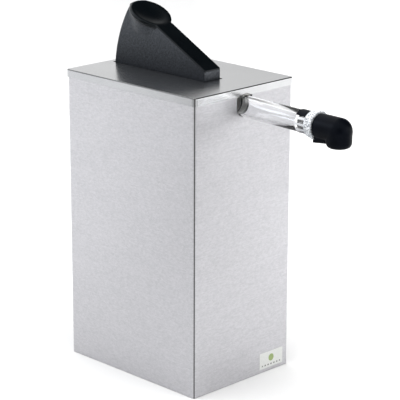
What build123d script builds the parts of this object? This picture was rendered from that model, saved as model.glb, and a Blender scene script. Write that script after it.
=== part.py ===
from build123d import *

import os
from math import cos, pi, radians, sin, sqrt

# Condiment pump dispenser. Millimetres, +Z up, origin at the middle of the footprint on the
# resting plane. The spout points along -Y and +X is to the right as seen from the front.

# ---------------------------------------------------------------- case and lid
CASE_W = 138.3
CASE_D = 185.2
LID_TOP = 310.0
SHEET = 0.9
CASE_EDGE_Z = 0.4
CASE_CORNER_R = 2.8
CASE_TOP = LID_TOP - SHEET
WALL_X = CASE_W / 2 - SHEET
WALL_Y = CASE_D / 2 - SHEET
FRONT_Y = -CASE_D / 2
LID_OVERHANG = 1.35
LID_CORNER_R = 4.0
LID_EDGE_R = 1.2
SKIRT_BOTTOM = 302.0
ARCH_R = 13.0
SLOT_HALF_W = 12.2
SLOT_FRONT = -51.0
SLOT_REAR = 86.5
SLOT_CORNER_R = 1.5

FLOOR_TOP = 8.0
FLOOR_FLANGE = 7.0
FLOOR_GAP = 0.1
FOOT_R = 8.0
FOOT_X = 52.0
FOOT_Y = 75.0

LABEL_X = (26.8, 61.3)
LABEL_Z = (4.0, 21.5)
LABEL_T = 0.15

# ---------------------------------------------------------------- discharge tube and spout
TUBE_Z = 291.35
TUBE_SLOPE = 1.38
TUBE_R = 10.85
TUBE_BORE_R = 7.85
U_SLOT_R = 11.1
U_SLOT_Z = 291.2
TUBE_REAR = -16.0
TUBE_FRONT = 93.3

SLEEVE_START = 74.0
SLEEVE_FLUTE_END = 87.9
SLEEVE_END = 93.3
SLEEVE_R = 11.35
SLEEVE_THREAD_R = 11.95
SLEEVE_BORE_R = 10.87
FLUTES = 18
FLUTE_DEPTH = 0.35
KEY_T = 0.5
KEY_SPAN = 75.0
KEY_MID = 8.0

COLLAR_START = 88.1
COLLAR_END = 96.4
COLLAR_R = 14.3
COLLAR_SMALL_R = 12.5
COLLAR_BORE_R = 12.03
COLLAR_LIP_START = 95.4
COLLAR_LIP_R = 10.8
COLLAR_TEETH = 40
TOOTH_DEPTH = 0.5

MOUTH = 96.6
KNEE = 123.0
MOUTH_R = 12.4
KNEE_R = 12.9
LEG_R = 12.7
LEG_DROP = 16.56
LEG_EDGE_R = 2.9
SPOUT_BORE_R = 6.0
SPIGOT_R = 7.8
SPIGOT_START = 80.0
SPOUT_FLANGE_START = 93.5
SPOUT_FLANGE_END = 95.2
SPOUT_FLANGE_R = 11.6
SPOUT_NECK_R = 10.5
TAB_START = 96.8
TAB_END = 113.0
TAB_HALF_W = 7.5
TAB_DROP = 15.8
TAB_END_DROP = 13.6
TAB_T = 2.6

# ---------------------------------------------------------------- pump
PUMP_Y = 33.0
RISER_Y = -62.0
BRIDGE_TOP = 252.0
BRIDGE_T = 1.5
BRIDGE_X = 66.5
BRIDGE_FRONT = -78.0
BRIDGE_REAR = 66.0
BRIDGE_LIP = 10.0
BRIDGE_LIP_X = 54.0
FINGER_HOLE_R = 11.0
FINGER_HOLE_X = 46.0
FINGER_HOLE_Y = -12.0
RAIL_W = 10.0
RAIL_H = 12.0
RAIL_LEN = 160.0

BORE_R = 20.0
CYL_R = 23.0
CYL_BOTTOM = 206.0
CYL_TOP = 256.0
CYL_FLANGE_R = 27.0
ORING_Z = 210.0
NUT_R = 29.0
NUT_H = 9.0
NUT_GRIPS = 12
HEAD_R = 30.0
HEAD_TOP = 262.0
HEAD_GRIPS = 30
BUSH_R = 8.0
BUSH_FLANGE_R = 12.0
BUSH_TOP = 266.0
ROD_R = 5.0
RUN_GAP = 0.05
STUD_R = 3.0

CAM_R = 12.0
CAM_Z = 312.0
CAM_GAP = 0.15
CAP_TOP = CAM_Z - CAM_R - CAM_GAP
CAP_R = 14.0
CAP_T = 5.0
CAP_HUB_R = 7.5
STROKE = 24.72
CAP_SKIRT_BOTTOM = BUSH_TOP + STROKE + 0.1
ROD_TOP = 296.0

PISTON_TOP = 246.0
PISTON_BOTTOM = 232.0
PISTON_R = 19.8
SEAL_R = 19.93
SEAL_Z = (236.0, 241.0)
SEAL_ROOT_R = 17.0
ROD_END = 226.0
PISTON_NUT_AF = 10.0
PISTON_NUT_T = 4.0

SPRING_R = 10.2
WIRE_R = 0.7
SPRING_BOTTOM = 264.0
SPRING_TURNS = 7

BALL_R = 5.0
SEAT_R = 3.5
CHAMBER_R = 6.6
CHAMBER_H = 12.0
BALL_SEAT_GAP = 0.1
CAGE_R = 7.9
CAGE_T = 2.0
PORT_R = 8.0
INLET_SEAT_Z = 184.0
ARM_Z = 200.0
ARM_R = 7.5
ARM_BORE_R = 4.5
OUTLET_SEAT_Z = 208.0
HUB_R = 28.0
HUB_BOTTOM = 190.0
HUB_TOP = 220.0
BOSS_R = 13.0
BOSS_BOTTOM = 172.0
OUTLET_BOSS_R = 12.0
OUTLET_BOSS_TOP = 236.0
CLIP_Z = 215.0
CLIP_T = 1.8
CLIP_W = 3.0

RISER_R = 9.0
RISER_BORE_R = 6.5
RISER_BOTTOM = 222.0
RISER_TOP = 276.0
RISER_RINGS = (229.0, 270.0)
SOCKET_END = -3.0
SOCKET_RING = -9.0
ELBOW_R = 12.0
ELBOW_SOCKET_R = 14.0
ELBOW_LEG_BOTTOM = 264.0
RING_R = 0.85

CONNECTOR_BOTTOM = 146.0
CONNECTOR_R = 9.0
CONNECTOR_TOP_R = 8.6
CONNECTOR_BORE_R = 5.0
CONNECTOR_FLANGE_R = 15.5
CONNECTOR_FLANGE_T = 3.0
CONNECTOR_RING_Z = 164.0
LOCK_R = 20.0
LOCK_BORE_R = 15.8
LOCK_BOTTOM = 158.0
LOCK_LIP_R = 13.3
LOCK_GAP = 0.3
LOCK_LIP_T = 2.0
WING_LEN = 9.0

# ---------------------------------------------------------------- lever handle
PIVOT_Y = -37.0
PIVOT_Z = 300.0
PIN_R = 2.5
BOSS_HANDLE_R = 7.0
BAR_HALF_W = 11.15
BAR_FRONT = -47.0
BAR_SLOPE = 27.5
BAR_TOP_Z = 346.0
BAR_BOTTOM = 302.5
BAR_FRONT_R = 2.0
BAR_REAR_R = 2.5
RELIEF_Y = (10.0, 75.0)
RELIEF_TOP = 308.5
REAR_ARC = (-47.5, 296.9, 133.0)
PAD_S = 45.5
PAD_R = 22.8
PAD_RIM_R = 2.6
PAD_DISH_R = 20.0
PAD_DISH_DEPTH = 3.6
FLARE_DEPTH = 22.0
FLARE_R = 10.0
CAM_HALF_W = 10.0
LIP_R = 126.5
LIP_TOP = 308.8
LIP_START = 78.0

BRACKET_IN = 11.8
BRACKET_T = 1.5
BRACKET_Y = (-46.0, -28.0)
BRACKET_WEB_Z = 290.0
BRACKET_FLANGE_X = 32.0
STUD_X = 25.0
STUD_Y = (-42.0, -32.0)
WELD_STUD_R = 1.5
WELD_STUD_END = 304.0
NUT_AF = 5.5
NUT_T = 2.4
PIN_HALF = 15.6
PIN_CLIP_R = 5.0
PIN_CLIP_T = 0.8
PIN_GROOVE_R = 1.9


# ================================================================ helpers
def disc(r, z0, z1, y=0.0, x=0.0):
    """Upright solid cylinder from z0 to z1."""
    return Pos(x, y, z0) * Cylinder(r, z1 - z0, align=(Align.CENTER, Align.CENTER, Align.MIN))


def ring(r_out, r_in, z0, z1, y=0.0, x=0.0):
    """Upright tube from z0 to z1."""
    return disc(r_out, z0, z1, y, x) - disc(r_in, z0 - 1, z1 + 1, y, x)


def block(x, y, z):
    """Box from three (low, high) pairs."""
    size = (x[1] - x[0], y[1] - y[0], z[1] - z[0])
    return Pos(x[0], y[0], z[0]) * Box(*size, align=(Align.MIN, Align.MIN, Align.MIN))


def rounded_prism(w, d, r, z0, z1):
    """Upright prism on a rounded rectangle centred on the origin."""
    return Pos(0, 0, z0) * extrude(RectangleRounded(w, d, r), z1 - z0)


def hexagon(across_flats, z0, z1, y=0.0, x=0.0):
    """Upright hexagonal prism."""
    face = RegularPolygon(across_flats / 2, 6, major_radius=False)
    return Pos(x, y, z0) * extrude(face, z1 - z0)


def oring(major, minor, z, y=0.0):
    """Flat-lying O-ring."""
    return Pos(0, y, z) * Torus(major, minor)


def side_profile(face, half_w):
    """Solid from a face drawn as (y, z), centred on X = 0."""
    return extrude(Plane.YZ * face, half_w, both=True)


# Frame of the tube: its Z runs outwards along the tube from the case's front face, and its X
# is the object's X.
TUBE = Location((0, FRONT_Y, TUBE_Z), (90 + TUBE_SLOPE, 0, 0))


def along(solid):
    """Places a solid drawn on the tube's frame."""
    return TUBE * solid


def tube_point(k):
    """(y, z) of the point on the tube's axis k outwards from the case front."""
    a = radians(TUBE_SLOPE)
    return (FRONT_Y - k * cos(a), TUBE_Z - k * sin(a))


# ================================================================ case
def make_case_shell():
    shell = rounded_prism(CASE_W, CASE_D, CASE_CORNER_R, CASE_EDGE_Z, CASE_TOP)
    inner_r = CASE_CORNER_R - SHEET
    shell -= rounded_prism(2 * WALL_X, 2 * WALL_Y, inner_r, -1, CASE_TOP + 1)
    cut_y = (FRONT_Y - 2, FRONT_Y + 4)
    slot = block((-U_SLOT_R, U_SLOT_R), cut_y, (U_SLOT_Z, CASE_TOP + 1))
    slot += Pos(0, FRONT_Y + 1, U_SLOT_Z) * Rot(90, 0, 0) * Cylinder(U_SLOT_R, 6)
    return shell - slot


def make_case_floor():
    w = 2 * (WALL_X - FLOOR_GAP)
    d = 2 * (WALL_Y - FLOOR_GAP)
    r = CASE_CORNER_R - SHEET
    low = FLOOR_TOP - FLOOR_FLANGE
    pan = rounded_prism(w, d, r, low, FLOOR_TOP)
    pan -= rounded_prism(w - 2 * SHEET, d - 2 * SHEET, r / 2, low - 1, FLOOR_TOP - SHEET)
    return pan


def make_rubber_feet():
    feet = []
    for sx in (-1, 1):
        for sy in (-1, 1):
            foot = disc(FOOT_R, 0, FLOOR_TOP - SHEET, sy * FOOT_Y, sx * FOOT_X)
            feet.append(fillet(foot.edges().group_by(Axis.Z)[0], 1.0))
    return Compound(children=feet)


def make_support_rails():
    rails = []
    top = BRIDGE_TOP - BRIDGE_T
    ys = (-RAIL_LEN / 2, RAIL_LEN / 2)
    for side in (-1, 1):
        wall = sorted((side * WALL_X, side * (WALL_X - SHEET)))
        ledge = sorted((side * WALL_X, side * (WALL_X - RAIL_W)))
        rail = block(wall, ys, (top - RAIL_H, top))
        rail += block(ledge, ys, (top - SHEET, top))
        rails.append(rail)
    return Compound(children=rails)


def make_front_label():
    return block(LABEL_X, (FRONT_Y - LABEL_T, FRONT_Y), LABEL_Z)


# ================================================================ lid
def lever_slot(z0, z1):
    length = SLOT_REAR - SLOT_FRONT
    face = RectangleRounded(2 * SLOT_HALF_W, length, SLOT_CORNER_R)
    return Pos(0, (SLOT_REAR + SLOT_FRONT) / 2, z0) * extrude(face, z1 - z0)


def make_lid():
    w = CASE_W + 2 * LID_OVERHANG
    d = CASE_D + 2 * LID_OVERHANG
    lid = rounded_prism(w, d, LID_CORNER_R, SKIRT_BOTTOM, LID_TOP)
    lid = fillet(lid.edges().group_by(Axis.Z)[-1], LID_EDGE_R)
    inner_r = LID_CORNER_R - SHEET
    lid -= rounded_prism(w - 2 * SHEET, d - 2 * SHEET, inner_r, SKIRT_BOTTOM - 1, CASE_TOP)
    lid -= lever_slot(CASE_TOP - 1, LID_TOP + 1)
    lid -= Pos(0, FRONT_Y, TUBE_Z) * Rot(90, 0, 0) * Cylinder(ARCH_R, 8)
    for sx in (-1, 1):
        for y in STUD_Y:
            lid += disc(WELD_STUD_R, WELD_STUD_END, CASE_TOP, y, sx * STUD_X)
    return lid


def make_handle_bracket():
    out = BRACKET_IN + BRACKET_T
    web_low = BRACKET_WEB_Z - BRACKET_T
    bracket = block((-out, out), BRACKET_Y, (web_low, CASE_TOP))
    bracket -= block((-BRACKET_IN, BRACKET_IN), (-60, 0), (BRACKET_WEB_Z, CASE_TOP + 1))
    for side in (-1, 1):
        span = sorted((side * BRACKET_IN, side * BRACKET_FLANGE_X))
        bracket += block(span, BRACKET_Y, (CASE_TOP - BRACKET_T, CASE_TOP))
        for y in STUD_Y:
            bracket -= disc(WELD_STUD_R + 0.2, CASE_TOP - 5, CASE_TOP + 1, y, side * STUD_X)
    bracket -= Pos(0, PIVOT_Y, PIVOT_Z) * Rot(0, 90, 0) * Cylinder(PIN_R + 0.02, 40)
    return bracket


def make_bracket_nuts():
    nuts = []
    top = CASE_TOP - BRACKET_T
    for sx in (-1, 1):
        for y in STUD_Y:
            nut = hexagon(NUT_AF, top - NUT_T, top, y, sx * STUD_X)
            nuts.append(nut - disc(WELD_STUD_R + 0.02, top - 4, top + 1, y, sx * STUD_X))
    return Compound(children=nuts)


def make_pivot_pin():
    pin = Pos(0, PIVOT_Y, PIVOT_Z) * Rot(0, 90, 0) * Cylinder(PIN_R, 2 * PIN_HALF)
    pin = chamfer(pin.edges(), 0.4)
    for side in (-1, 1):
        x = side * (BRACKET_IN + BRACKET_T + 0.6)
        groove = Cylinder(PIN_R + 1, PIN_CLIP_T + 0.1) - Cylinder(PIN_GROOVE_R, 2)
        pin -= Pos(x, PIVOT_Y, PIVOT_Z) * Rot(0, 90, 0) * groove
    return pin


def make_pin_clips():
    clips = []
    for side in (-1, 1):
        x = side * (BRACKET_IN + BRACKET_T + 0.6)
        clip = Cylinder(PIN_CLIP_R, PIN_CLIP_T) - Cylinder(PIN_GROOVE_R + 0.02, 2)
        clip -= Pos(0, -PIN_CLIP_R, 0) * Box(2.6, 2 * PIN_CLIP_R, 2)
        clips.append(Pos(x, PIVOT_Y, PIVOT_Z) * Rot(0, 90, 0) * clip)
    return Compound(children=clips)


# ================================================================ lever handle
def across(solid, y, z):
    """Places a solid drawn about Z so that its axis lies along X through (y, z)."""
    return Pos(0, y, z) * Rot(0, 90, 0) * solid


def slope_point(s):
    """(y, z) on the bar's sloping top, s up the slope from y = 0."""
    a = radians(BAR_SLOPE)
    return (s * cos(a), BAR_TOP_Z + s * sin(a))


def rear_y(z):
    """Rear face of the bar at height z."""
    y, centre_z, r = REAR_ARC
    return y + sqrt(r * r - (z - centre_z) ** 2)


def slope_place(s):
    """Frame on the sloping top at s: X across, Y up the slope, Z out of it."""
    y, z = slope_point(s)
    return Pos(0, y, z) * Rot(BAR_SLOPE, 0, 0)


def make_bar():
    """Upright wedge between the front face, the sloping top and the rear arc."""
    a = radians(BAR_SLOPE)
    front_top = slope_point(BAR_FRONT / cos(a))
    top_rear = slope_point(PAD_S + PAD_R - PAD_RIM_R)
    rear_top = (rear_y(top_rear[1] - 1), top_rear[1] - 1)
    mid_z = (rear_top[1] + BAR_BOTTOM) / 2
    low_rear = (rear_y(BAR_BOTTOM), BAR_BOTTOM)
    outline = [
        Line((BAR_FRONT, BAR_BOTTOM), front_top),
        Line(front_top, top_rear),
        Line(top_rear, rear_top),
        ThreePointArc(rear_top, (rear_y(mid_z), mid_z), low_rear),
        Line(low_rear, (BAR_FRONT, BAR_BOTTOM)),
    ]
    bar = side_profile(make_face(outline), BAR_HALF_W)
    bar = fillet(bar.edges().filter_by(GeomType.CIRCLE), BAR_REAR_R)
    front = bar.edges().filter_by(Axis.Z).group_by(Axis.Y)[0]
    return fillet(front, BAR_FRONT_R)


def make_pad():
    """Round dished pad that narrows like a trumpet below its rim, down to the bar."""
    rim_mid = PAD_R - PAD_RIM_R
    dish_r = (PAD_DISH_R ** 2 + PAD_DISH_DEPTH ** 2) / (2 * PAD_DISH_DEPTH)
    half_sag = dish_r - sqrt(dish_r ** 2 - (PAD_DISH_R / 2) ** 2)
    waist = (FLARE_R, -FLARE_DEPTH)
    bulge = ((FLARE_R + PAD_R) / 2 - 3.2, -FLARE_DEPTH / 2 + 1.5)
    rim_low = (PAD_R, -PAD_RIM_R)
    rim_high = (rim_mid + PAD_RIM_R * cos(pi / 4), -PAD_RIM_R * (1 - sin(pi / 4)))
    outline = [
        Line((0, -FLARE_DEPTH), waist),
        ThreePointArc(waist, bulge, rim_low),
        ThreePointArc(rim_low, rim_high, (rim_mid, 0)),
        Line((rim_mid, 0), (PAD_DISH_R, 0)),
        ThreePointArc((PAD_DISH_R, 0), (PAD_DISH_R / 2, half_sag - PAD_DISH_DEPTH),
                      (0, -PAD_DISH_DEPTH)),
        Line((0, -PAD_DISH_DEPTH), (0, -FLARE_DEPTH)),
    ]
    return slope_place(PAD_S) * revolve(Plane.XZ * make_face(outline), Axis.Z)


def make_lever_handle():
    dish_r = (PAD_DISH_R ** 2 + PAD_DISH_DEPTH ** 2) / (2 * PAD_DISH_DEPTH)
    bar = make_bar()
    bar -= slope_place(PAD_S) * Pos(0, 0, dish_r - PAD_DISH_DEPTH) * Sphere(dish_r)
    beyond = block((-30, 30), (0, 60), (-PAD_RIM_R * 2, 20))
    beyond -= Pos(0, 0, -10) * Cylinder(PAD_R - 0.5, 80)
    handle = bar - slope_place(PAD_S) * beyond
    handle -= block((-30, 30), RELIEF_Y, (BAR_BOTTOM - 1, RELIEF_TOP))
    handle += make_pad()
    handle += across(Cylinder(BOSS_HANDLE_R, 2 * BAR_HALF_W), PIVOT_Y, PIVOT_Z)
    handle += across(Cylinder(CAM_R, 2 * CAM_HALF_W), PUMP_Y, CAM_Z)
    lip = block((-BAR_HALF_W, BAR_HALF_W), (LIP_START, 95), (BAR_BOTTOM, LIP_TOP))
    handle += lip & across(Cylinder(LIP_R, 60), PIVOT_Y, PIVOT_Z)
    return handle - across(Cylinder(PIN_R + RUN_GAP, 60), PIVOT_Y, PIVOT_Z)


# ================================================================ tube and spout
def make_discharge_tube():
    tube = Pos(0, 0, TUBE_REAR) * Cylinder(
        TUBE_R, TUBE_FRONT - TUBE_REAR, align=(Align.CENTER, Align.CENTER, Align.MIN))
    bore = Cylinder(TUBE_BORE_R, 400)
    return along(tube - bore)


def make_ribbed_sleeve():
    sleeve = disc(SLEEVE_R, SLEEVE_START, SLEEVE_FLUTE_END)
    sleeve += disc(SLEEVE_THREAD_R, SLEEVE_FLUTE_END, SLEEVE_END)
    for i in range(FLUTES):
        groove = Pos(SLEEVE_R + 0.75, 0, SLEEVE_START) * Cylinder(
            0.75 + FLUTE_DEPTH, 2 * (SLEEVE_FLUTE_END - SLEEVE_START) - 1.5)
        sleeve -= Rot(0, 0, (i + 0.5) * 360 / FLUTES) * groove
    sleeve -= disc(SLEEVE_BORE_R, 0, 200)
    return along(sleeve - key_sector(0.05))


def key_sector(grow):
    """Pad on the top of the sleeve, grown all round by grow."""
    outer = disc(SLEEVE_R + KEY_T + grow, SLEEVE_START + 1.5 - grow, SLEEVE_FLUTE_END + grow)
    outer -= disc(SLEEVE_R - FLUTE_DEPTH - 0.05 - grow, 0, 200)
    wedge_half = radians(KEY_SPAN / 2 + grow * 5)
    far = 40
    corner = (far * sin(wedge_half), far * cos(wedge_half))
    wedge = make_face(Polyline((0, 0), corner, (0, 2 * far), (-corner[0], corner[1]), close=True))
    sector = outer & (Pos(0, 0, SLEEVE_START - 5) * extrude(wedge, 40))
    return Rot(0, 0, KEY_MID) * sector


def make_spout_collar():
    """Bell-shaped nut with a finely toothed grip."""
    length = COLLAR_END - COLLAR_START
    outline = [
        Line((COLLAR_BORE_R, COLLAR_START), (COLLAR_SMALL_R, COLLAR_START)),
        ThreePointArc((COLLAR_SMALL_R, COLLAR_START),
                      (COLLAR_R - 0.7, COLLAR_START + 0.42 * length),
                      (COLLAR_R, COLLAR_END - 1.2)),
        Line((COLLAR_R, COLLAR_END - 1.2), (COLLAR_R - 0.8, COLLAR_END)),
        Line((COLLAR_R - 0.8, COLLAR_END), (COLLAR_LIP_R, COLLAR_END)),
        Line((COLLAR_LIP_R, COLLAR_END), (COLLAR_LIP_R, COLLAR_LIP_START)),
        Line((COLLAR_LIP_R, COLLAR_LIP_START), (COLLAR_BORE_R, COLLAR_LIP_START)),
        Line((COLLAR_BORE_R, COLLAR_LIP_START), (COLLAR_BORE_R, COLLAR_START)),
    ]
    collar = revolve(Plane.XZ * make_face(outline), Axis.Z)
    for i in range(COLLAR_TEETH):
        notch = Pos(COLLAR_R, 0, COLLAR_START) * Rot(0, 0, 45) * Box(
            TOOTH_DEPTH, TOOTH_DEPTH, 2 * length + 2)
        collar -= Rot(0, 0, i * 360 / COLLAR_TEETH) * notch
    return along(collar)


def make_spout_tab():
    """Finger tab under the spout's mouth, drawn on the tube's frame as (up, along)."""
    outline = Polyline(
        (-TAB_DROP, TAB_START), (-TAB_DROP + TAB_T, TAB_START),
        (-MOUTH_R + 1.5, TAB_START + TAB_T), (-MOUTH_R + 1.5, TAB_END),
        (-TAB_END_DROP, TAB_END), close=True)
    tab = extrude(Plane.YZ * make_face(outline), TAB_HALF_W, both=True)
    under = Pos(0, 0, TAB_START) * Cylinder(MOUTH_R - 1.5, 80)
    return tab - under


def make_spout_elbow():
    body = Pos(0, 0, MOUTH) * Cone(
        MOUTH_R, KNEE_R, KNEE - MOUTH, align=(Align.CENTER, Align.CENTER, Align.MIN))
    body = fillet(body.edges().group_by(Axis.Z)[0], 0.6)
    body += Pos(0, 0, KNEE) * Sphere(KNEE_R)
    body += disc(SPOUT_NECK_R, SPOUT_FLANGE_START, MOUTH + 1)
    body += disc(SPOUT_FLANGE_R, SPOUT_FLANGE_START, SPOUT_FLANGE_END)
    body += disc(SPIGOT_R, SPIGOT_START, MOUTH)
    spout = along(body)
    knee_y, knee_z = tube_point(KNEE)
    leg = disc(LEG_R, knee_z - LEG_DROP, knee_z, knee_y)
    spout += fillet(leg.edges().group_by(Axis.Z)[0], LEG_EDGE_R)
    spout += along(make_spout_tab())
    spout -= along(disc(SPOUT_BORE_R, SPIGOT_START - 1, KNEE))
    spout -= along(Pos(0, 0, KNEE) * Sphere(SPOUT_BORE_R))
    return spout - disc(SPOUT_BORE_R, knee_z - LEG_DROP - 1, knee_z, knee_y)


# ================================================================ pump body
def make_pump_bridge():
    low = BRIDGE_TOP - BRIDGE_T
    lip_x = (-BRIDGE_LIP_X, BRIDGE_LIP_X)
    bridge = block((-BRIDGE_X, BRIDGE_X), (BRIDGE_FRONT, BRIDGE_REAR), (low, BRIDGE_TOP))
    bridge = fillet(bridge.edges().filter_by(Axis.Z), 5)
    lips = ((BRIDGE_FRONT, BRIDGE_FRONT + BRIDGE_T), (BRIDGE_REAR - BRIDGE_T, BRIDGE_REAR))
    for span in lips:
        bridge += block(lip_x, span, (BRIDGE_TOP - BRIDGE_LIP, BRIDGE_TOP))
    bridge -= disc(CYL_R + 0.3, low - 1, BRIDGE_TOP + 1, PUMP_Y)
    bridge -= disc(RISER_R + 0.5, low - 1, BRIDGE_TOP + 1, RISER_Y)
    for side in (-1, 1):
        bridge -= disc(FINGER_HOLE_R, low - 1, BRIDGE_TOP + 1, FINGER_HOLE_Y, side * FINGER_HOLE_X)
    return bridge


def make_pump_cylinder():
    cylinder = disc(CYL_R, CYL_BOTTOM, CYL_TOP, PUMP_Y)
    cylinder += disc(CYL_FLANGE_R, BRIDGE_TOP, CYL_TOP, PUMP_Y)
    cylinder -= disc(BORE_R, CYL_BOTTOM - 1, CYL_TOP + 1, PUMP_Y)
    cylinder -= ring(CYL_R + 1, CYL_R - 1, CLIP_Z - 1, CLIP_Z + 1, PUMP_Y)
    return cylinder - ring(CYL_R + 1, CYL_R - 1.75, ORING_Z - 0.9, ORING_Z + 0.9, PUMP_Y)


def make_cylinder_lock_nut():
    top = BRIDGE_TOP - BRIDGE_T
    nut = ring(NUT_R, CYL_R + 0.05, top - NUT_H, top, PUMP_Y)
    for i in range(NUT_GRIPS):
        grip = Pos(NUT_R + 0.8, 0, top - NUT_H / 2) * Cylinder(2.2, NUT_H + 2)
        nut -= Pos(0, PUMP_Y, 0) * Rot(0, 0, i * 360 / NUT_GRIPS) * grip
    return nut


def make_cylinder_head():
    head = disc(HEAD_R, BRIDGE_TOP + 0.3, HEAD_TOP, PUMP_Y)
    head = fillet(head.edges().group_by(Axis.Z)[-1], 1.2)
    head -= disc(CYL_FLANGE_R + 0.1, BRIDGE_TOP, CYL_TOP, PUMP_Y)
    head += disc(BORE_R - 0.05, CYL_TOP - 6, CYL_TOP + 1, PUMP_Y)
    head -= disc(BUSH_R + 0.02, CYL_TOP - 10, HEAD_TOP + 1, PUMP_Y)
    head -= disc(1.2, CYL_TOP - 10, HEAD_TOP + 1, PUMP_Y + 16)
    for i in range(HEAD_GRIPS):
        grip = Pos(HEAD_R + 0.5, 0, HEAD_TOP) * Cylinder(1.2, 24)
        head -= Pos(0, PUMP_Y, 0) * Rot(0, 0, i * 360 / HEAD_GRIPS) * grip
    return head


def make_rod_bushing():
    bush = disc(BUSH_R, CYL_TOP - 8, SPRING_BOTTOM, PUMP_Y)
    bush += disc(BUSH_FLANGE_R, HEAD_TOP, SPRING_BOTTOM, PUMP_Y)
    bush += disc(BUSH_R - 0.5, SPRING_BOTTOM, BUSH_TOP, PUMP_Y)
    return bush - disc(ROD_R + RUN_GAP, 0, 400, PUMP_Y)


def make_valve_body():
    """Hub under the cylinder, arm forward to the riser, and a ball chamber at each end."""
    body = disc(HUB_R, HUB_BOTTOM, HUB_TOP, PUMP_Y)
    body = fillet(body.edges().group_by(Axis.Z)[0], 3.0)
    body += disc(BOSS_R, BOSS_BOTTOM, HUB_BOTTOM + 1, PUMP_Y)
    arm_len = PUMP_Y - RISER_Y - 20
    body += Pos(0, RISER_Y + arm_len / 2, ARM_Z) * Rot(90, 0, 0) * Cylinder(ARM_R, arm_len)
    body += disc(OUTLET_BOSS_R, ARM_Z - ARM_R - 2, OUTLET_BOSS_TOP, RISER_Y)
    body -= disc(CYL_R + 0.05, CYL_BOTTOM, HUB_TOP + 1, PUMP_Y)
    body -= disc(PORT_R, INLET_SEAT_Z + CHAMBER_H, CYL_BOTTOM + 1, PUMP_Y)
    body -= disc(CHAMBER_R, INLET_SEAT_Z, CYL_BOTTOM, PUMP_Y)
    body -= disc(CONNECTOR_TOP_R + 0.05, BOSS_BOTTOM - 1, INLET_SEAT_Z, PUMP_Y)
    bore_len = PUMP_Y - RISER_Y
    bore = Pos(0, RISER_Y + bore_len / 2, ARM_Z) * Rot(90, 0, 0) * Cylinder(ARM_BORE_R, bore_len)
    body -= bore
    body -= disc(SEAT_R, ARM_Z, OUTLET_SEAT_Z + 1, RISER_Y)
    body -= disc(CHAMBER_R, OUTLET_SEAT_Z, OUTLET_SEAT_Z + CHAMBER_H, RISER_Y)
    cage_top = OUTLET_SEAT_Z + CHAMBER_H + CAGE_T
    body -= disc(PORT_R, cage_top - CAGE_T, cage_top, RISER_Y)
    body -= disc(RISER_R + 0.05, RISER_BOTTOM, OUTLET_BOSS_TOP + 1, RISER_Y)
    return body - clip_outline(0.15)


def clip_outline(grow):
    """U-shaped clip lying across the hub, grown all round by grow."""
    inner = CYL_R - 0.85 - grow
    outer = inner + CLIP_W + 2 * grow
    rear = PUMP_Y + HUB_R + 6
    z = (CLIP_Z - CLIP_T / 2 - grow, CLIP_Z + CLIP_T / 2 + grow)
    clip = block((-outer, outer), (rear - CLIP_W - grow, rear + grow), z)
    for side in (-1, 1):
        span = sorted((side * inner, side * outer))
        clip += block(span, (PUMP_Y - 14 - grow, rear), z)
    return clip


def make_cylinder_oring():
    return oring(CYL_R - RING_R - 0.05, RING_R, ORING_Z, PUMP_Y)


def make_ball_cages():
    cages = []
    for y, seat in ((PUMP_Y, INLET_SEAT_Z), (RISER_Y, OUTLET_SEAT_Z)):
        low = seat + CHAMBER_H
        cage = disc(CAGE_R, low, low + CAGE_T, y)
        for i in range(3):
            hole = Pos(4.8, 0, low) * Cylinder(2.1, 3 * CAGE_T)
            cage -= Pos(0, y, 0) * Rot(0, 0, 30 + i * 120) * hole
        cages.append(cage)
    return Compound(children=cages)


def make_ball(y, seat):
    rise = sqrt(BALL_R ** 2 - SEAT_R ** 2) + BALL_SEAT_GAP
    return Pos(0, y, seat + rise) * Sphere(BALL_R)


def make_riser_tube():
    tube = ring(RISER_R, RISER_BORE_R, RISER_BOTTOM, RISER_TOP, RISER_Y)
    for z in RISER_RINGS:
        tube -= ring(RISER_R + 1, RISER_R - 1.75, z - 0.9, z + 0.9, RISER_Y)
    return tube


def make_riser_orings():
    rings = [oring(RISER_R - RING_R - 0.05, RING_R, z, RISER_Y) for z in RISER_RINGS]
    return Compound(children=rings)


def make_outlet_elbow():
    """Elbow from the riser's top to a socket around the rear end of the discharge tube."""
    corner = -(RISER_Y - FRONT_Y)
    corner_y, corner_z = tube_point(corner)
    elbow = along(disc(ELBOW_R, corner, TUBE_REAR + 1))
    elbow += along(disc(ELBOW_SOCKET_R, TUBE_REAR - 3, SOCKET_END))
    elbow += Pos(0, corner_y, corner_z) * Sphere(ELBOW_R)
    elbow += disc(ELBOW_R, ELBOW_LEG_BOTTOM, corner_z, RISER_Y)
    elbow -= along(disc(TUBE_R + 0.05, TUBE_REAR, SOCKET_END + 1))
    elbow -= along(disc(TUBE_R + 1.85, SOCKET_RING - 0.9, SOCKET_RING + 0.9))
    elbow -= along(disc(RISER_BORE_R, corner, TUBE_REAR + 1))
    elbow -= Pos(0, corner_y, corner_z) * Sphere(RISER_BORE_R)
    elbow -= disc(RISER_BORE_R, RISER_TOP - 1, corner_z, RISER_Y)
    return elbow - disc(RISER_R + 0.05, ELBOW_LEG_BOTTOM - 1, RISER_TOP, RISER_Y)


def make_tube_oring():
    return along(oring(TUBE_R + RING_R + 0.05, RING_R, SOCKET_RING))


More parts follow.
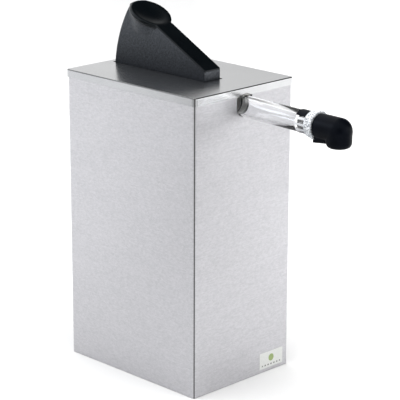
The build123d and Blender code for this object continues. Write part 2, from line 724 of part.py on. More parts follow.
def make_pouch_connector():
    flange_top = BOSS_BOTTOM
    part = disc(CONNECTOR_R, CONNECTOR_BOTTOM, flange_top - 1, PUMP_Y)
    part = chamfer(part.edges().group_by(Axis.Z)[0], 0.8)
    part += disc(CONNECTOR_TOP_R, flange_top - 1, INLET_SEAT_Z, PUMP_Y)
    part += disc(CONNECTOR_FLANGE_R, flange_top - CONNECTOR_FLANGE_T, flange_top, PUMP_Y)
    part -= disc(CONNECTOR_BORE_R, CONNECTOR_BOTTOM - 1, INLET_SEAT_Z - 4, PUMP_Y)
    part -= disc(SEAT_R, CONNECTOR_BOTTOM, INLET_SEAT_Z + 1, PUMP_Y)
    z = CONNECTOR_RING_Z
    return part - ring(CONNECTOR_R + 1, CONNECTOR_R - 1.75, z - 0.9, z + 0.9, PUMP_Y)


def make_connector_oring():
    return oring(CONNECTOR_R - RING_R - 0.05, RING_R, CONNECTOR_RING_Z, PUMP_Y)


def make_pouch_lock_ring():
    lip_low = BOSS_BOTTOM + LOCK_GAP
    lock = disc(LOCK_R, LOCK_BOTTOM, lip_low + LOCK_LIP_T, PUMP_Y)
    for side in (-1, 1):
        span = sorted((side * (LOCK_R - 2), side * (LOCK_R + WING_LEN)))
        wing = block(span, (PUMP_Y - 3, PUMP_Y + 3), (LOCK_BOTTOM + 2, lip_low + LOCK_LIP_T))
        lock += fillet(wing.edges().filter_by(Axis.Z), 1.5)
    lock -= disc(LOCK_BORE_R, LOCK_BOTTOM - 1, lip_low, PUMP_Y)
    return lock - disc(LOCK_LIP_R, LOCK_BOTTOM - 1, lip_low + LOCK_LIP_T + 1, PUMP_Y)


# ================================================================ plunger
def make_plunger_rod():
    rod = disc(ROD_R, PISTON_TOP, ROD_TOP, PUMP_Y)
    rod = chamfer(rod.edges().group_by(Axis.Z)[-1], 0.6)
    return rod + disc(STUD_R, ROD_END, PISTON_TOP, PUMP_Y)


def make_piston():
    piston = disc(PISTON_R, PISTON_BOTTOM, PISTON_TOP, PUMP_Y)
    piston = chamfer(piston.edges().group_by(Axis.Z)[0], 0.8)
    piston -= ring(PISTON_R + 1, SEAL_ROOT_R, SEAL_Z[0], SEAL_Z[1], PUMP_Y)
    return piston - disc(STUD_R + 0.02, 0, 400, PUMP_Y)


def make_piston_seal():
    seal = ring(SEAL_R, SEAL_ROOT_R + 0.05, SEAL_Z[0] + 0.1, SEAL_Z[1] - 0.1, PUMP_Y)
    groove = ring(SEAL_R - 1.0, SEAL_ROOT_R + 0.8, SEAL_Z[0], SEAL_Z[0] + 2.0, PUMP_Y)
    return seal - groove


def make_piston_nut():
    nut = hexagon(PISTON_NUT_AF, PISTON_BOTTOM - PISTON_NUT_T, PISTON_BOTTOM, PUMP_Y)
    return nut - disc(STUD_R + 0.02, 0, 400, PUMP_Y)


def make_push_cap():
    cap = disc(CAP_R, CAP_SKIRT_BOTTOM, CAP_TOP, PUMP_Y)
    cap = fillet(cap.edges().group_by(Axis.Z)[-1], 1.0)
    cap -= ring(CAP_R - 1.2, CAP_HUB_R, 0, CAP_TOP - CAP_T, PUMP_Y)
    cap -= disc(CAP_R + 1, 0, CAP_SKIRT_BOTTOM, PUMP_Y)
    return cap - disc(ROD_R + 0.02, 0, ROD_TOP, PUMP_Y)


def make_return_spring():
    """Round-wire helix with one closed turn at each end."""
    height = CAP_TOP - CAP_T - SPRING_BOTTOM - 2 * WIRE_R
    pitch = height / SPRING_TURNS
    path = Helix(pitch, height, SPRING_R)
    start = path @ 0
    section = Plane(origin=start, z_dir=path % 0) * Circle(WIRE_R)
    coil = sweep(section, path)
    return Pos(0, PUMP_Y, SPRING_BOTTOM + WIRE_R) * coil


def main():
    os.makedirs("parts", exist_ok=True)
    parts = {
        "case_shell": make_case_shell(),
        "case_floor": make_case_floor(),
        "rubber_feet": make_rubber_feet(),
        "support_rails": make_support_rails(),
        "front_label": make_front_label(),
        "lid": make_lid(),
        "handle_bracket": make_handle_bracket(),
        "bracket_nuts": make_bracket_nuts(),
        "pivot_pin": make_pivot_pin(),
        "pin_clips": make_pin_clips(),
        "lever_handle": make_lever_handle(),
        "discharge_tube": make_discharge_tube(),
        "ribbed_sleeve": make_ribbed_sleeve(),
        "sleeve_key": along(key_sector(0.0)),
        "spout_collar": make_spout_collar(),
        "spout_elbow": make_spout_elbow(),
        "pump_bridge": make_pump_bridge(),
        "pump_cylinder": make_pump_cylinder(),
        "cylinder_lock_nut": make_cylinder_lock_nut(),
        "cylinder_head": make_cylinder_head(),
        "rod_bushing": make_rod_bushing(),
        "valve_body": make_valve_body(),
        "valve_clip": clip_outline(0.0),
        "cylinder_oring": make_cylinder_oring(),
        "ball_cages": make_ball_cages(),
        "inlet_ball": make_ball(PUMP_Y, INLET_SEAT_Z),
        "outlet_ball": make_ball(RISER_Y, OUTLET_SEAT_Z),
        "riser_tube": make_riser_tube(),
        "riser_orings": make_riser_orings(),
        "outlet_elbow": make_outlet_elbow(),
        "tube_oring": make_tube_oring(),
        "pouch_connector": make_pouch_connector(),
        "connector_oring": make_connector_oring(),
        "pouch_lock_ring": make_pouch_lock_ring(),
        "plunger_rod": make_plunger_rod(),
        "piston": make_piston(),
        "piston_seal": make_piston_seal(),
        "piston_nut": make_piston_nut(),
        "push_cap": make_push_cap(),
        "return_spring": make_return_spring(),
    }
    for name, shape in parts.items():
        export_step(shape, f"parts/{name}.step")


main()
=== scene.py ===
import math

import bmesh
import bpy
import numpy as np
from mathutils import Matrix, Vector


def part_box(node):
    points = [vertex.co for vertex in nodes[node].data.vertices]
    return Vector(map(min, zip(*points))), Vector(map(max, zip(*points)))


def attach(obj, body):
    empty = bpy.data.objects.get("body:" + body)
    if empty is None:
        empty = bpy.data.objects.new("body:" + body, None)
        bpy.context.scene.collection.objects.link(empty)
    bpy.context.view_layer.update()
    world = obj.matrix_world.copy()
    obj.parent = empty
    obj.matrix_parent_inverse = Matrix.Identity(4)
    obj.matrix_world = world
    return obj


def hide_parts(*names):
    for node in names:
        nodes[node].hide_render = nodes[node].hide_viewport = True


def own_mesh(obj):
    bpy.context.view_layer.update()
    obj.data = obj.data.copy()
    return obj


# Condiment pump dispenser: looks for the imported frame. Lengths are millimetres in the frame's
# axes (+Z up, spout along -Y) unless a comment says metres; MM turns them into Blender's metres.

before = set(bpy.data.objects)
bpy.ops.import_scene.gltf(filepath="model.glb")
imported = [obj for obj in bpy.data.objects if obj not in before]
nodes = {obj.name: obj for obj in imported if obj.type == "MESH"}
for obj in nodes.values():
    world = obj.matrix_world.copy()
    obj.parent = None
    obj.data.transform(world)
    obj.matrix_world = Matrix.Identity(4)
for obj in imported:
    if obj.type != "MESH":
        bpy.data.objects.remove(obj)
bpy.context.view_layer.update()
MM = 0.001


def box_mm(node):
    low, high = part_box(node)
    return low / MM, high / MM


# ================================================================ driving dimensions
FRONT_Y = box_mm("case_shell")[0].y

# Frame of the discharge tube: local Z outwards, local X the object's X, origin on the case front.
TUBE_Z = 291.35
TUBE_SLOPE = math.radians(1.38)
TUBE_TURN = math.radians(90) + TUBE_SLOPE
TUBE = Matrix.Translation((0, FRONT_Y, TUBE_Z)) @ Matrix.Rotation(TUBE_TURN, 4, "X")

# Fluted sleeve on the tube: number of ribs, its middle along the tube, its axis's height there.
FLUTES = 12
SLEEVE_MIDDLE = 81.0
SLEEVE_AXIS_Z = TUBE_Z - SLEEVE_MIDDLE * math.sin(TUBE_SLOPE)

# Sloping top of the lever: its angle, its height at y = 0, and the round pad's centre on it.
BAR_SLOPE = math.radians(27.5)
BAR_TOP_Z = 346.0
PAD_S = 45.5
PAD_R = 22.8
PAD_CENTRE = Vector((0, PAD_S * math.cos(BAR_SLOPE), BAR_TOP_Z + PAD_S * math.sin(BAR_SLOPE))) * MM

# How far below the top plane the lever is black: on the bar, on the pad's rim, and the blur.
BAR_BLACK, PAD_BLACK, BLACK_BLUR = 1.4, 6.0, 0.25
# Distances from the pad's centre over which the deeper black of its rim ends.
RIM_BLACK_END = (PAD_R + 1.5, PAD_R + 3.5)
# The lever's sides are painted darker towards the lid, as painted shade: heights in metres.
LEVER_PAINTED_SHADE = (0.306, 0.350)
# Its front end is painted paler, most of all at its top, as a painted highlight: heights and reach
# along Y in metres.
BAR_FRONT = -48.2
FRONT_PAINTED_LIGHT = (0.309, 0.324)
FRONT_DEPTH = ((BAR_FRONT + 0.3) * MM, (BAR_FRONT + 1.0) * MM)

# Steel sheet: widths of the bends painted dark, a painted dark reflection, and of the skirt, painted
# greyer as painted shade; the blur of their edges; the bends' painted tones.
CASE_BEND, LID_CORNER_BEND, LID_TOP_BEND, SKIRT_T = 1.3, 1.9, 0.9, 0.6
MASK_BLUR = 0.15
PAINTED_BEND_DARK, PAINTED_BEND_LIGHT = (0.07, 0.07, 0.07), (0.12, 0.12, 0.12)
# Part of the brushed sheet's fine pattern that is level grain; the rest is mottle.
GRAIN_SHARE = 0.6

# Label print: the disc's centre and radius; the dashes' height, half thickness, spacing, reach.
DISC_X, DISC_Z, DISC_R = 44.0, 14.2, 3.9
DASH_Z, DASH_HALF_T, DASH_PITCH, DASH_REACH = 7.0, 0.75, 4.4, 14.0

# Noise values from which most tones and gloss changes run from their low to their high end.
NOISE_SPAN = (0.3, 0.7)


# ================================================================ shader helpers
def feed(tree, made, inputs):
    """Fills a node's sockets; each value is a constant or another node's socket."""
    for name, value in inputs.items():
        if isinstance(value, bpy.types.NodeSocket):
            tree.links.new(value, made.inputs[name])
        else:
            made.inputs[name].default_value = value


def add_node(tree, kind, inputs, **settings):
    """Adds a node with the given sockets and attributes."""
    made = tree.nodes.new(kind)
    for name, value in settings.items():
        setattr(made, name, value)
    feed(tree, made, inputs)
    return made


def new_material(name):
    """A new material with one Principled shader: the material, its tree and the shader."""
    mat = bpy.data.materials.new("look_" + name)
    mat.use_nodes = True
    tree = mat.node_tree
    tree.nodes.clear()
    shader = tree.nodes.new("ShaderNodeBsdfPrincipled")
    add_node(tree, "ShaderNodeOutputMaterial", {"Surface": shader.outputs["BSDF"]})
    return mat, tree, shader


def object_point(tree):
    """The point's own object coordinates, in metres."""
    return tree.nodes.new("ShaderNodeTexCoord").outputs["Object"]


def noise(tree, scale, detail, rough):
    """Noise whose scale per metre is one number or one for each axis."""
    scale = scale if isinstance(scale, tuple) else (scale, scale, scale)
    mapped = add_node(tree, "ShaderNodeMapping", {"Vector": object_point(tree), "Scale": scale})
    inputs = {"Vector": mapped.outputs["Vector"], "Scale": 1.0, "Detail": detail, "Roughness": rough}
    return add_node(tree, "ShaderNodeTexNoise", inputs).outputs["Fac"]


def ramp(tree, fac, low, high, start=0.0, end=1.0):
    """Colour from low to high, both (r, g, b), as fac goes from start to end."""
    made = add_node(tree, "ShaderNodeValToRGB", {"Fac": fac})
    first, last = made.color_ramp.elements
    first.position, last.position = start, end
    first.color, last.color = (*low, 1), (*high, 1)
    return made.outputs["Color"]


def spread(tree, fac, low, high, start=0.0, end=1.0):
    """Value from low to high as fac goes from start to end, held beyond them."""
    inputs = {"Value": fac, "From Min": start, "From Max": end, "To Min": low, "To Max": high}
    return add_node(tree, "ShaderNodeMapRange", inputs).outputs["Result"]


def calc(tree, operation, *values):
    """Math node on sockets or constants."""
    made = add_node(tree, "ShaderNodeMath", dict(enumerate(values)), operation=operation)
    return made.outputs["Value"]


def vector_calc(tree, operation, vector, other):
    """Number that a vector operation gives from a socket and a constant vector."""
    made = add_node(tree, "ShaderNodeVectorMath", {0: vector, 1: other}, operation=operation)
    return made.outputs["Value"]


def within(tree, value, reach):
    """1 where value is within reach mm of zero on either side."""
    return calc(tree, "LESS_THAN", calc(tree, "ABSOLUTE", value), reach * MM)


def blend(tree, fac, a, b):
    """Colour or value that is a where fac is 0 and b where it is 1; a is a socket."""
    kind = "RGBA" if a.type == "RGBA" else "FLOAT"
    inputs = {"Factor": fac, "A": a, "B": b}
    return add_node(tree, "ShaderNodeMix", inputs, data_type=kind).outputs["Result"]


def relief(tree, height, distance, strength):
    """Bumped normal; distance is in metres."""
    inputs = {"Height": height, "Distance": distance, "Strength": strength}
    return add_node(tree, "ShaderNodeBump", inputs).outputs["Normal"]


def grey(value):
    return (value, value, value)


def by_axis(tree, axis):
    """The point's x, y or z in metres, as axis is 0, 1 or 2."""
    split = add_node(tree, "ShaderNodeSeparateXYZ", {"Vector": object_point(tree)})
    return split.outputs[axis]


def near_sides(tree, node_name, axis, edge):
    """1 within edge mm of a box-like sheet's two sides across axis 0 or 1."""
    low, high = box_mm(node_name)
    middle = (low[axis] + high[axis]) / 2
    start = (high[axis] - low[axis]) / 2 - edge
    off = calc(tree, "ABSOLUTE", calc(tree, "SUBTRACT", by_axis(tree, axis), middle * MM))
    return spread(tree, off, 0.0, 1.0, (start - MASK_BLUR) * MM, (start + MASK_BLUR) * MM)


def corner_bends(tree, node_name, edge):
    """1 on the upright corner bends of a box-like sheet."""
    both = [near_sides(tree, node_name, axis, edge) for axis in (0, 1)]
    return calc(tree, "MULTIPLY", *both)


def top_bend(tree, node_name, edge):
    """1 on the bend round the top of a box-like sheet."""
    both = [near_sides(tree, node_name, axis, edge) for axis in (0, 1)]
    start = box_mm(node_name)[1].z - edge
    top = spread(tree, by_axis(tree, 2), 0.0, 1.0, (start - MASK_BLUR) * MM, (start + MASK_BLUR) * MM)
    return calc(tree, "MULTIPLY", calc(tree, "MAXIMUM", *both), top)


# ================================================================ materials
def brushed_steel():
    """Satin stainless sheet: fine level grain, a faint mottle and corner bends painted dark as a
    painted dark reflection.
    """
    mat, tree, shader = new_material("brushed_steel")
    grain = calc(tree, "MULTIPLY", noise(tree, (60, 60, 9000), 4.0, 0.65), GRAIN_SHARE)
    mottle = calc(tree, "MULTIPLY", noise(tree, (340, 340, 650), 3.0, 0.6), 1 - GRAIN_SHARE)
    fine = calc(tree, "ADD", grain, mottle)
    broad = noise(tree, (9, 9, 60), 3.0, 0.5)
    sheet = ramp(tree, fine, (0.385, 0.382, 0.40), (0.555, 0.552, 0.572), 0.34, 0.66)
    # Painted dark reflection: the corner bends get a near-black tone instead of the sheet's.
    bend_painted_dark = ramp(tree, fine, PAINTED_BEND_DARK, PAINTED_BEND_LIGHT, 0.34, 0.66)
    feed(tree, shader, {
        "Metallic": 1.0,
        "Anisotropic": 0.7,
        "Anisotropic Rotation": 0.25,
        "Base Color": blend(tree, corner_bends(tree, "case_shell", CASE_BEND), sheet, bend_painted_dark),
        "Roughness": spread(tree, broad, 0.30, 0.42, *NOISE_SPAN),
        "Normal": relief(tree, fine, 0.00002, 0.6),
    })
    return mat


def polished_steel():
    """Bright sheet of the lid, with side skirts painted greyer as painted shade and folded edges
    painted dark as a painted dark reflection.
    """
    mat, tree, shader = new_material("polished_steel")
    broad = noise(tree, 14, 2.0, 0.5)
    fine = noise(tree, (3000, 120, 3000), 3.0, 0.6)
    sheet = ramp(tree, broad, (0.60, 0.605, 0.615), (0.65, 0.655, 0.665), *NOISE_SPAN)
    # Painted shade: the left and right skirts get a greyer tone than the lid's top.
    skirt_painted_shade = ramp(tree, broad, (0.40, 0.405, 0.415), (0.45, 0.455, 0.465), *NOISE_SPAN)
    # Painted dark reflection: the lid's corner and top bends get a near-black tone.
    bend_painted_dark = ramp(tree, fine, PAINTED_BEND_DARK, PAINTED_BEND_LIGHT, *NOISE_SPAN)
    corner = corner_bends(tree, "lid", LID_CORNER_BEND)
    fold_painted_dark = calc(tree, "MAXIMUM", corner, top_bend(tree, "lid", LID_TOP_BEND))
    sheet = blend(tree, near_sides(tree, "lid", 0, SKIRT_T), sheet, skirt_painted_shade)
    feed(tree, shader, {
        "Metallic": 1.0,
        "Base Color": blend(tree, fold_painted_dark, sheet, bend_painted_dark),
        "Roughness": spread(tree, fine, 0.20, 0.25, *NOISE_SPAN),
        "Normal": relief(tree, broad, 0.0004, 0.25),
    })
    return mat


def plain(name, colour, roughness, metallic=0.0, grain=700, depth=0.00002, vary=0.12):
    """Moulded or machined surface: slight tone change, slight gloss change, fine relief."""
    mat, tree, shader = new_material(name)
    fine = noise(tree, grain, 3.0, 0.6)
    broad = noise(tree, 40, 2.0, 0.5)
    dark = tuple(c * (1 - vary) for c in colour)
    lit = tuple(min(1.0, c * (1 + vary)) for c in colour)
    feed(tree, shader, {
        "Metallic": metallic,
        "Base Color": ramp(tree, broad, dark, lit, 0.35, 0.65),
        "Roughness": spread(tree, fine, roughness * 0.85, roughness * 1.15, *NOISE_SPAN),
        "Normal": relief(tree, fine, depth, 0.5),
    })
    return mat


def lever_top(tree):
    """1 on the lever's sloping top and on the whole pad with its rim, 0 on its sides."""
    over = (0, -math.sin(BAR_SLOPE), math.cos(BAR_SLOPE))
    height = vector_calc(tree, "DOT_PRODUCT", object_point(tree), over)
    reach = vector_calc(tree, "DISTANCE", object_point(tree), PAD_CENTRE)
    level = BAR_TOP_Z * math.cos(BAR_SLOPE)
    lowest = spread(tree, reach, (level - PAD_BLACK) * MM, (level - BAR_BLACK) * MM,
                    *(distance * MM for distance in RIM_BLACK_END))
    above = calc(tree, "SUBTRACT", height, lowest)
    return spread(tree, above, 0.0, 1.0, -BLACK_BLUR * MM, BLACK_BLUR * MM)


def lever_plastic():
    """Spark-textured sides, painted darker towards the lid as painted shade and paler at the front as
    a painted highlight; the sloping top, the pad and its rim are smooth and much blacker.
    """
    mat, tree, shader = new_material("lever_plastic")
    fine = noise(tree, 650, 3.0, 0.7)
    pits = noise(tree, 520, 2.0, 0.6)
    broad = noise(tree, 30, 2.0, 0.5)
    top = lever_top(tree)
    high = by_axis(tree, 2)
    lit = ramp(tree, fine, (0.004, 0.005, 0.007), (0.042, 0.046, 0.056), *NOISE_SPAN)
    shade = ramp(tree, fine, (0.001, 0.0014, 0.002), (0.012, 0.0135, 0.018), *NOISE_SPAN)
    painted_front_light = ramp(tree, fine, (0.045, 0.048, 0.054), (0.19, 0.20, 0.22), *NOISE_SPAN)
    black = ramp(tree, broad, (0.0006, 0.0012, 0.0018), (0.001, 0.0018, 0.0026), *NOISE_SPAN)
    # Painted shade: the sides' tone goes darker towards the lid.
    side = blend(tree, spread(tree, high, 0.0, 1.0, *LEVER_PAINTED_SHADE), shade, lit)
    # Painted highlight: the front end's tone grows paler towards its top.
    at_front = spread(tree, by_axis(tree, 1), 1.0, 0.0, *FRONT_DEPTH)
    at_front = calc(tree, "MULTIPLY", at_front, spread(tree, high, 0.0, 1.0, *FRONT_PAINTED_LIGHT))
    side = blend(tree, at_front, side, painted_front_light)
    side_rough = spread(tree, pits, 0.48, 0.62, *NOISE_SPAN)
    # Painted shade also lowers the sides' gloss towards the lid.
    side_gloss = spread(tree, high, 0.08, 0.42, *LEVER_PAINTED_SHADE)
    top_rough = spread(tree, broad, 0.26, 0.32, *NOISE_SPAN)
    top_gloss = spread(tree, broad, 0.20, 0.24, *NOISE_SPAN)
    feed(tree, shader, {
        "Base Color": blend(tree, top, side, black),
        "Roughness": blend(tree, top, side_rough, top_rough),
        "Specular IOR Level": blend(tree, top, side_gloss, top_gloss),
        "Specular Tint": (0.86, 0.94, 1.0, 1),
        "Normal": relief(tree, blend(tree, top, pits, 0.5), 0.00016, 0.7),
    })
    return mat


def spout_plastic():
    """Deep black satin moulding."""
    mat, tree, shader = new_material("spout_plastic")
    fine = noise(tree, 1800, 3.0, 0.6)
    broad = noise(tree, 60, 2.0, 0.5)
    feed(tree, shader, {
        "Base Color": ramp(tree, broad, (0.0014, 0.0018, 0.003), (0.0024, 0.003, 0.0052), 0.35, 0.65),
        "Roughness": spread(tree, fine, 0.30, 0.38, *NOISE_SPAN),
        "Specular IOR Level": 0.05,
        "Specular Tint": (0.75, 0.85, 1.0, 1),
        "Normal": relief(tree, fine, 0.00003, 0.5),
    })
    return mat


def clear_plastic():
    mat, tree, shader = new_material("clear_plastic")
    feed(tree, shader, {
        "Transmission Weight": 1.0,
        "IOR": 1.5,
        "Base Color": (0.97, 0.975, 0.98, 1),
        "Roughness": spread(tree, noise(tree, 400, 2.0, 0.5), 0.015, 0.035, *NOISE_SPAN),
    })
    return mat


def sleeve_plastic():
    """Clear sleeve whose ribs are frosted and whose grooves are clear."""
    mat, tree, shader = new_material("sleeve_plastic")
    above = calc(tree, "SUBTRACT", by_axis(tree, 2), SLEEVE_AXIS_Z * MM)
    angle = calc(tree, "ARCTAN2", by_axis(tree, 0), above)
    wave = calc(tree, "COSINE", calc(tree, "MULTIPLY", angle, float(FLUTES)))
    frost = spread(tree, noise(tree, 900, 3.0, 0.6), 0.6, 1.0, 0.35, 0.65)
    rib = calc(tree, "MULTIPLY", spread(tree, wave, 0.0, 1.0, 0.0, 0.5), frost)
    feed(tree, shader, {
        "IOR": 1.5,
        "Transmission Weight": spread(tree, rib, 1.0, 0.1),
        "Base Color": ramp(tree, rib, grey(0.97), (0.62, 0.64, 0.68)),
        "Roughness": spread(tree, rib, 0.03, 0.3),
    })
    return mat


def frosted_plastic():
    """Cloudy moulding with glints: part clear, part white."""
    mat, tree, shader = new_material("frosted_plastic")
    sparkle = noise(tree, 750, 3.0, 0.7)
    feed(tree, shader, {
        "Base Color": ramp(tree, sparkle, (0.30, 0.33, 0.37), (0.93, 0.95, 0.97), 0.36, 0.62),
        "Transmission Weight": spread(tree, sparkle, 0.55, 0.05, 0.4, 0.6),
        "Roughness": spread(tree, sparkle, 0.18, 0.4, *NOISE_SPAN),
        "Normal": relief(tree, sparkle, 0.0003, 0.8),
    })
    return mat


def label_foil():
    """Satin label printed with a plain green disc over a row of grey dashes."""
    mat, tree, shader = new_material("label_foil")
    fine = noise(tree, 900, 3.0, 0.6)
    paper = ramp(tree, fine, (0.56, 0.57, 0.55), (0.63, 0.64, 0.62), *NOISE_SPAN)
    green = ramp(tree, fine, (0.22, 0.30, 0.10), (0.28, 0.36, 0.13), *NOISE_SPAN)
    ink = ramp(tree, fine, grey(0.13), grey(0.2), *NOISE_SPAN)
    across = calc(tree, "SUBTRACT", by_axis(tree, 0), DISC_X * MM)
    above_disc = calc(tree, "SUBTRACT", by_axis(tree, 2), DISC_Z * MM)
    above_row = calc(tree, "SUBTRACT", by_axis(tree, 2), DASH_Z * MM)
    squares = [calc(tree, "POWER", value, 2.0) for value in (across, above_disc)]
    reach = calc(tree, "SQRT", calc(tree, "ADD", *squares))
    disc = spread(tree, reach, 1.0, 0.0, (DISC_R - MASK_BLUR) * MM, (DISC_R + MASK_BLUR) * MM)
    beat = calc(tree, "PINGPONG", across, DASH_PITCH / 2 * MM)
    row = calc(tree, "MULTIPLY", within(tree, above_row, DASH_HALF_T),
               within(tree, across, DASH_REACH))
    dashes = calc(tree, "MULTIPLY", within(tree, beat, DASH_PITCH / 4), row)
    feed(tree, shader, {
        "Base Color": blend(tree, dashes, blend(tree, disc, paper, green), ink),
        "Roughness": spread(tree, fine, 0.3, 0.4, *NOISE_SPAN),
        "Normal": relief(tree, fine, 0.00001, 0.4),
    })
    return mat


MATERIALS = {
    "brushed_steel": brushed_steel(),
    "plain_steel": plain("plain_steel", grey(0.55), 0.28, 1.0, 900, 0.00001),
    "polished_steel": polished_steel(),
    "fastener_steel": plain("fastener_steel", grey(0.5), 0.33, 1.0, 1500, 0.00001),
    "lever_plastic": lever_plastic(),
    "spout_plastic": spout_plastic(),
    "clear_plastic": clear_plastic(),
    "sleeve_plastic": sleeve_plastic(),
    "frosted_plastic": frosted_plastic(),
    "white_plastic": plain("white_plastic", (0.83, 0.83, 0.8), 0.36, vary=0.03),
    "grey_plastic": plain("grey_plastic", (0.2, 0.21, 0.22), 0.4, vary=0.05),
    "seal_rubber": plain("seal_rubber", grey(0.018), 0.65, 0.0, 1500, 0.00004),
    "label_foil": label_foil(),
}

# Each CAD node arrives with a material named after its slot in the record.
for cad_node in nodes.values():
    slot = cad_node.data.materials[0].name
    cad_node.data.materials.clear()
    cad_node.data.materials.append(MATERIALS[slot])


# ================================================================ mesh helpers
def add_mesh(name, points, faces, material, body, slot, *stands_for):
    """Smooth-shaded piece from points in millimetres, riding on body for the CAD nodes given."""
    mesh = bpy.data.meshes.new(name)
    mesh.from_pydata([tuple(p) for p in np.asarray(points) * MM], [], [tuple(f) for f in faces])
    mesh.polygons.foreach_set("use_smooth", [True] * len(mesh.polygons))
    mesh.update()
    piece = bpy.data.objects.new(name, mesh)
    bpy.context.scene.collection.objects.link(piece)
    mesh.materials.append(MATERIALS[material])
    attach(piece, body)
    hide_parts(*stands_for)
    return piece


def between(value, low, high):
    """Field that is negative between two levels."""
    return np.maximum(low - value, value - high)


def from_line(y, z, centre):
    """Distance from a line along X through centre, given as (y, z)."""
    return np.hypot(y - centre[0], z - centre[1])


def smooth_max(a, b, k):
    """Larger of two fields with the corner between them rounded over about k."""
    mix = np.clip(0.5 - 0.5 * (a - b) / k, 0, 1)
    return a + (b - a) * mix + k * mix * (1 - mix)


def smooth_min(a, b, k):
    """Smaller of two fields with the corner between them filled over about k."""
    return -smooth_max(-a, -b, k)


def gradient(field, points, step=0.02):
    """Slope of field at each point, from its values one step to either side."""
    slopes = []
    for axis in range(3):
        shift = np.zeros(3)
        shift[axis] = step
        slopes.append(field(*(points + shift).T) - field(*(points - shift).T))
    return np.stack(slopes, 1) / (2 * step)


def skin(field, low, high, cell):
    """Points and quads of the surface where field is zero; field is negative inside.

    Each cell that the surface crosses gets one point at the mean of its edge crossings, and
    two steps along the field's slope bring the points onto the surface itself."""
    grid = [np.arange(a - 3 * cell, b + 4 * cell, cell) for a, b in zip(low, high)]
    value = field(*np.meshgrid(*grid, indexing="ij"))
    shape = tuple(n - 1 for n in value.shape)
    total = np.zeros(shape + (3,))
    count = np.zeros(shape)
    corners = [(i, j, k) for i in (0, 1) for j in (0, 1) for k in (0, 1)]

    def at(corner):
        return value[tuple(slice(c, c + n) for c, n in zip(corner, shape))]

    for one in corners:
        for axis in range(3):
            if one[axis]:
                continue
            other = tuple(c + (a == axis) for a, c in enumerate(one))
            v0, v1 = at(one), at(other)
            cross = (v0 < 0) != (v1 < 0)
            share = np.where(cross, v0 / np.where(cross, v0 - v1, 1), 0)
            for a in range(3):
                total[..., a] += np.where(cross, one[a] + (share if a == axis else 0), 0)
            count += cross
    used = count > 0
    number = np.full(shape, -1)
    number[used] = np.arange(used.sum())
    cells = np.argwhere(used)
    start = np.array([ticks[0] for ticks in grid])
    points = start + (cells + total[used] / count[used][:, None]) * cell
    for _ in range(2):
        slope = gradient(field, points)
        size = np.maximum((slope ** 2).sum(1), 0.05)
        step = field(*points.T) / size
        points = points - np.clip(step, -cell, cell)[:, None] * slope
    quads = []
    for axis in range(3):
        b, c = (axis + 1) % 3, (axis + 2) % 3
        inside = value < 0
        here = np.moveaxis(inside, (axis, b, c), (0, 1, 2))
        cell_number = np.moveaxis(number, (axis, b, c), (0, 1, 2))
        change = here[:-1] != here[1:]
        change[:, 0, :] = change[:, -1, :] = False
        change[:, :, 0] = change[:, :, -1] = False
        i, j, k = np.nonzero(change)
        ring = [cell_number[i, j - 1, k - 1], cell_number[i, j, k - 1],
                cell_number[i, j, k], cell_number[i, j - 1, k]]
        quad = np.stack(ring, 1)
        flip = ~here[:-1][i, j, k]
        quad[flip] = quad[flip][:, ::-1]
        quads.append(quad)
    return points, np.concatenate(quads)


def lathe(outline, segments, place=Matrix.Identity(4), radius=None):
    """Points and faces of a closed outline of (r, z) turned about Z, then placed.

    radius(r, z, angle), if given, changes r at each angle."""
    points, faces = [], []
    turn = Matrix(place)
    count = len(outline)
    for s in range(segments):
        angle = 2 * math.pi * s / segments
        for r, z in outline:
            wide = radius(r, z, angle) if radius else r
            points.append(turn @ Vector((wide * math.cos(angle), wide * math.sin(angle), z)))
        following = (s + 1) % segments
        for i in range(count):
            j = (i + 1) % count
            faces.append((s * count + i, following * count + i,
                          following * count + j, s * count + j))
    return points, faces


def arc(centre, r, start, end, steps):
    """Points of an arc in (r, z), angles in degrees."""
    turns = [math.radians(start + (end - start) * i / steps) for i in range(steps + 1)]
    return [(centre[0] + r * math.cos(t), centre[1] + r * math.sin(t)) for t in turns]


# ================================================================ lever handle
LEVER_LOW, LEVER_HIGH = box_mm("lever_handle")
LEVER_CELL = 0.9

# Side view of the wedge-shaped bar; centres are (y, z). PIVOT is the axis of the hinge pin.
PIVOT = (-37.0, 300.0)
BAR_HALF_W = 11.15
BAR_BOTTOM = 302.5
REAR_CENTRE, REAR_R = (-47.5, 296.9), 133.0
FRONT_ROUND, REAR_ROUND, BOTTOM_ROUND = 1.4, 2.6, 1.0

# Round pad: the height of its upright rim, then the depth over which it narrows to its foot
# inside the bar, how that curve bends, and the dish on top.
PAD_RIM, PAD_FLARE, PAD_FOOT_R = 3.4, 26.0, 0.9 * BAR_HALF_W
FLARE_CURVE = 2.2
PAD_FOOT_ROUND = 3.0
DISH_R, DISH_DEPTH, DISH_ROUND = 20.0, 3.6, 1.4

# Fillet between pad and bar: it grows with depth below the top plane, then fades to its start.
FILLET_START, FILLET_GROWTH = 1.2, 0.5
FILLET_FULL, FILLET_FADE, FILLET_END = 12.0, 8.0, 25.0

# Rounding of the top edges: on the bar, what the pad adds, and the run between them.
TOP_ROUND, PAD_EXTRA_ROUND, TOP_ROUND_RUN = 1.0, 3.0, 10.0

# Underneath: boss and bore of the pin, cam over the plunger, hollow over the lid, rear lip.
BOSS_R, PIN_BORE_R = 7.0, 2.55
CAM_CENTRE, CAM_R, CAM_HALF_W = (33.0, 312.0), 12.0, 10.0
HOLLOW_FRONT, HOLLOW_REAR, HOLLOW_TOP = 10.0, 75.0, 308.5
LIP_FRONT, LIP_TOP, LIP_R = 78.0, 308.8, 126.5


